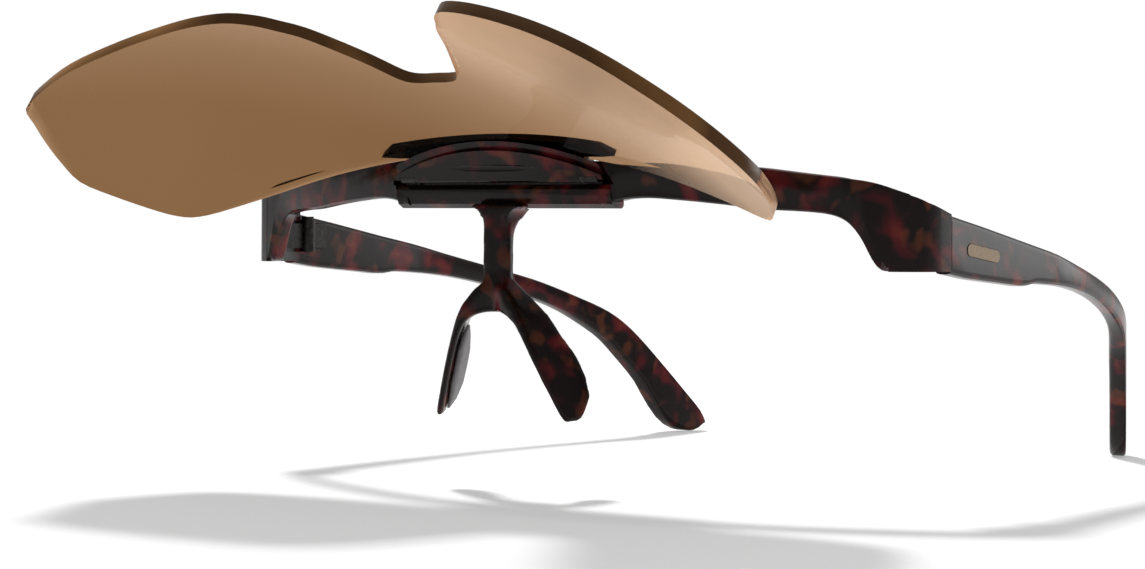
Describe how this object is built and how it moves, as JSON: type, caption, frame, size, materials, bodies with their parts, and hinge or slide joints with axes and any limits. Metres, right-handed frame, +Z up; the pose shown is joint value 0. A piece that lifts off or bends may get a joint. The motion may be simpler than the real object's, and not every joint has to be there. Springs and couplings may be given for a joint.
{
  "type": "flip up sunglasses",
  "caption": "Flip up shield sunglasses: a one-piece tinted lens hinged over a half-rim brow bar, with nose arms and folding temples.",
  "frame": {"origin": "centre of the footprint on the surface it stands on, lens raised", "axes": "-Y is the wearer's forward direction, +X the viewer's right when seen from the front, +Z up"},
  "size_m": [0.1426, 0.1892, 0.0619],
  "materials": {
    "tortoise": "glossy dark tortoise",
    "lens_tint": "clear amber tint",
    "pad_rubber": "matt",
    "steel": "satin",
    "washer": "matt",
    "inlay": "satin champagne"
  },
  "bodies": {
    "frame": {"brow_bar": "tortoise", "nose_bridge": "tortoise", "nose_pad_left": "pad_rubber", "nose_pad_right": "pad_rubber", "flip_hinge_base": "steel", "flip_pin": "steel", "friction_washer_left": "washer", "friction_washer_right": "washer", "front_hinge_leaf_left": "steel", "front_hinge_leaf_right": "steel", "hinge_screw_left": "steel", "hinge_screw_right": "steel"},
    "visor": {"lens_carrier": "tortoise", "lens": "lens_tint", "lens_clamp": "tortoise", "clamp_screw_left": "steel", "clamp_screw_right": "steel"},
    "left_temple": {"temple_left": "tortoise", "temple_inlay_left": "inlay", "temple_hinge_leaf_left": "steel"},
    "right_temple": {"temple_right": "tortoise", "temple_inlay_right": "inlay", "temple_hinge_leaf_right": "steel"}
  },
  "joints": [
    {"name": "lens_flip", "type": "hinge", "parent": "frame", "child": "visor", "pos_m": [0, -0.04421, 0.04009], "axis": [1, 0, 0], "range_deg": [0, 118]},
    {"name": "temple_left_fold", "type": "hinge", "parent": "frame", "child": "left_temple", "pos_m": [-0.0659, -0.017, 0.03229], "axis": [0, 0.0895, -0.996], "range_deg": [0, 82]},
    {"name": "temple_right_fold", "type": "hinge", "parent": "frame", "child": "right_temple", "pos_m": [0.0659, -0.017, 0.03229], "axis": [0, -0.0895, 0.996], "range_deg": [0, 90]}
  ]
}
